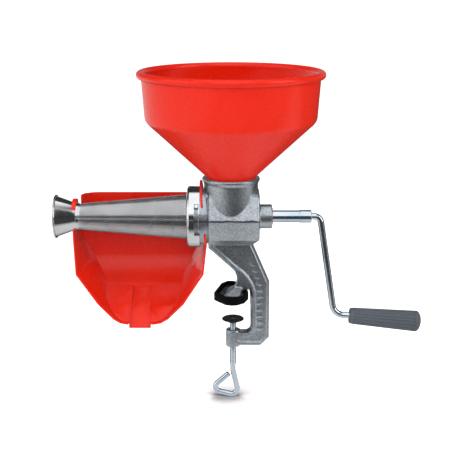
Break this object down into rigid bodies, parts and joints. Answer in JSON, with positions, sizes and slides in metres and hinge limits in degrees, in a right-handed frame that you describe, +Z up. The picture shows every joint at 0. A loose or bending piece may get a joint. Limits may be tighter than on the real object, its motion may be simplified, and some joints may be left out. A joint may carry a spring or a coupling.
{
  "type": "hand crank tomato mill",
  "caption": "Hand crank tomato mill on a table clamp, with a round hopper, cone filter screen, auger, splash guard and bent crank with a turning grip.",
  "frame": {"origin": "middle of the rubber jaw face that sits on the table top, straight under the hopper's axis", "axes": "+Z up, +X along the shaft from the filter towards the crank, the operator stands at -Y"},
  "size_m": [0.4613, 0.2284, 0.4222],
  "materials": {
    "cast_aluminium": "sand cast and tumbled, satin, raised ribs rubbed bright",
    "black_rubber": "smooth matt black rubber",
    "stainless": "bright stainless sheet, perforated on the filter",
    "polished_steel": "polished stainless",
    "zinc_steel": "bright blue-white zinc plated steel",
    "black_steel": "blackened pressed steel",
    "bronze": "sintered bronze",
    "red_plastic": "moulded red plastic, satin gloss",
    "grey_plastic": "moulded blue-grey plastic, fluted",
    "white_nylon": "moulded food grade nylon"
  },
  "bodies": {
    "frame": {"body_casting": "cast_aluminium", "jaw_rubber_cap": "black_rubber", "bayonet_pins": "stainless", "shaft_bush": "bronze", "shaft_seal": "black_rubber", "collar_gasket": "white_nylon"},
    "hopper": {"hopper": "red_plastic"},
    "filter": {"filter_collar": "polished_steel", "filter_screen": "stainless", "screen_end_ring": "stainless", "outlet_horn": "polished_steel"},
    "guard": {"splash_guard": "red_plastic"},
    "rotor": {"drive_shaft": "zinc_steel", "auger": "white_nylon", "auger_spring": "stainless", "thrust_washer": "white_nylon", "auger_cross_pin": "stainless", "crank_sleeve": "zinc_steel", "crank_pin": "zinc_steel", "crank_rod": "zinc_steel", "grip_push_nut": "zinc_steel"},
    "grip": {"grip_sleeve": "grey_plastic", "grip_end_cap": "grey_plastic"},
    "clamp_carriage": {"pressure_disc": "black_steel"},
    "clamp_screw_body": {"clamp_screw": "zinc_steel"}
  },
  "joints": [
    {"name": "hopper_lift", "type": "slide", "parent": "frame", "child": "hopper", "axis": [0, 0, 1], "range_m": [0, 0.06]},
    {"name": "filter_twist", "type": "hinge", "parent": "frame", "child": "filter", "pos_m": [0, 0, 0.1064], "axis": [1, 0, 0], "range_deg": [-54, 0]},
    {"name": "guard_tilt", "type": "hinge", "parent": "frame", "child": "guard", "pos_m": [0, 0, 0.1064], "axis": [1, 0, 0], "range_deg": [-35, 15]},
    {"name": "crank_turn", "type": "hinge", "parent": "frame", "child": "rotor", "pos_m": [0, 0, 0.1064], "axis": [1, 0, 0], "continuous": true},
    {"name": "grip_spin", "type": "hinge", "parent": "rotor", "child": "grip", "pos_m": [0.1513, 0, -0.02407], "axis": [0.9961, 0, -0.0885], "continuous": true},
    {"name": "clamp_travel", "type": "slide", "parent": "frame", "child": "clamp_carriage", "axis": [0, 0, 1], "range_m": [-0.0085, 0.0265]},
    {"name": "clamp_turn", "type": "hinge", "parent": "clamp_carriage", "child": "clamp_screw_body", "pos_m": [0.0025, 0, -0.06], "axis": [0, 0, 1], "range_deg": [-2448, 7632]}
  ],
  "couplings": [
    {"joint": "clamp_travel", "follows": "clamp_turn", "m_per_rad": 0.00019894}
  ]
}
